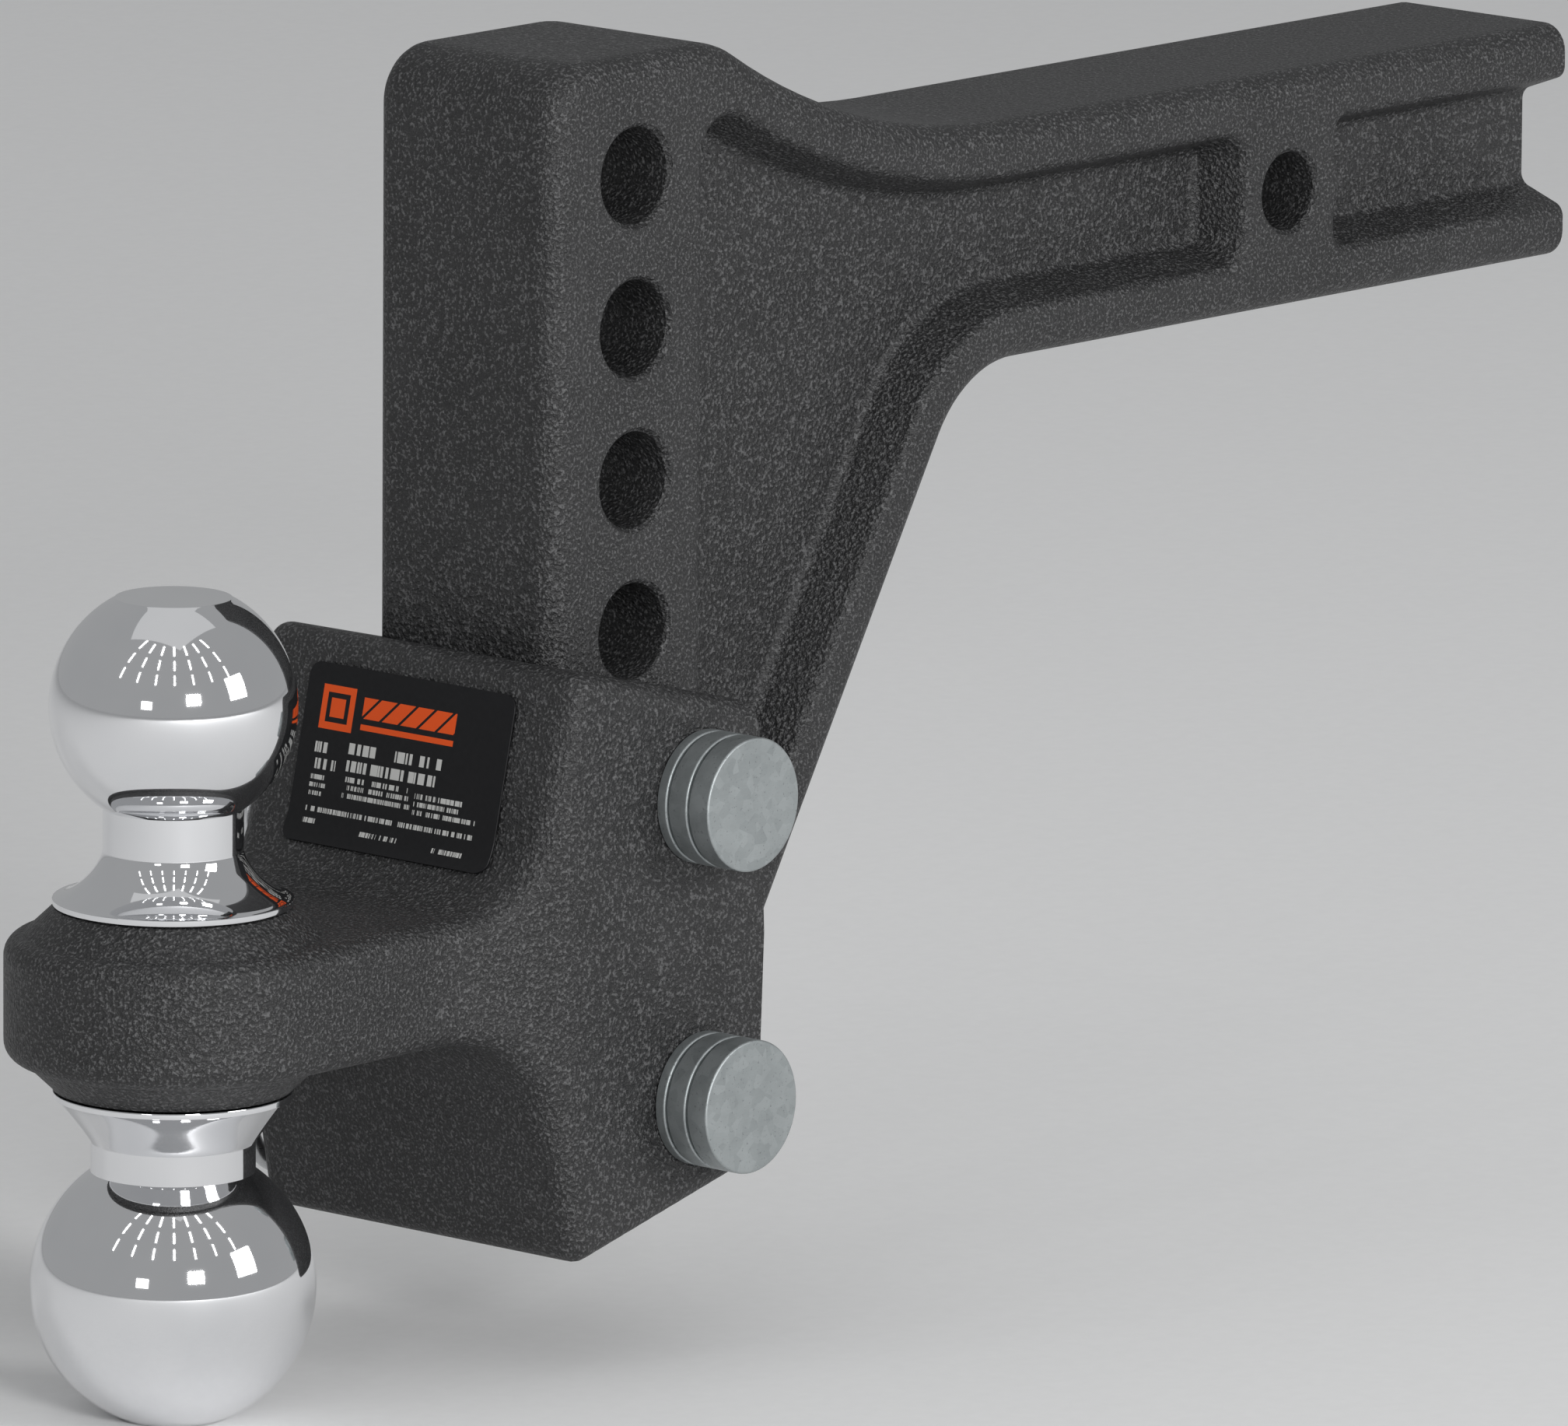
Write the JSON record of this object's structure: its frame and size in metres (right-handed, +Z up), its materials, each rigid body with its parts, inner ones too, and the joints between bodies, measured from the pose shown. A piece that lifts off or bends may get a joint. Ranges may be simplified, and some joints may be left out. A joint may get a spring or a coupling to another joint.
{
  "type": "adjustable trailer hitch ball mount",
  "caption": "Adjustable drop hitch: square shank and drilled drop column in black forged steel, reversible carrier with a chrome ball above and below, held by headed pins and hairpin clips.",
  "frame": {"origin": "centre of the square shank, on the axis of its receiver-pin hole", "axes": "+X along the shank towards the towing vehicle, +Z up, pin heads on the -Y side, balls at -X"},
  "size_m": [0.4438, 0.1157, 0.2708],
  "materials": {
    "casting_coating": "fine-grained black powder coat on forged steel",
    "carrier_coating": "fine-grained black powder coat on forged steel",
    "upper_chrome": "bright chrome plate",
    "lower_chrome": "bright chrome plate",
    "label_film": "printed polyester film",
    "upper_pin_zinc": "dull mottled zinc plate",
    "lower_pin_zinc": "dull mottled zinc plate",
    "upper_clip_zinc": "bright zinc-plated spring wire",
    "lower_clip_zinc": "bright zinc-plated spring wire"
  },
  "bodies": {
    "mount": {"shank_and_column": "casting_coating", "ball_carrier": "carrier_coating", "upper_ball": "upper_chrome", "lower_ball": "lower_chrome", "rating_label": "label_film"},
    "upper_pin": {"upper_pin": "upper_pin_zinc"},
    "lower_pin": {"lower_pin": "lower_pin_zinc"},
    "upper_clip": {"upper_clip": "upper_clip_zinc"},
    "lower_clip": {"lower_clip": "lower_clip_zinc"}
  },
  "joints": [
    {"name": "upper_pin_turn", "type": "hinge", "parent": "mount", "child": "upper_pin", "pos_m": [-0.207, 0, -0.0987], "axis": [0, 1, 0], "continuous": true},
    {"name": "lower_pin_turn", "type": "hinge", "parent": "mount", "child": "lower_pin", "pos_m": [-0.207, 0, -0.1622], "axis": [0, 1, 0], "continuous": true},
    {"name": "upper_clip_pull", "type": "slide", "parent": "upper_pin", "child": "upper_clip", "axis": [-1, 0, 0], "range_m": [0, 0.04], "deforming": ["upper_clip"]},
    {"name": "lower_clip_pull", "type": "slide", "parent": "lower_pin", "child": "lower_clip", "axis": [-1, 0, 0], "range_m": [0, 0.04], "deforming": ["lower_clip"]}
  ]
}
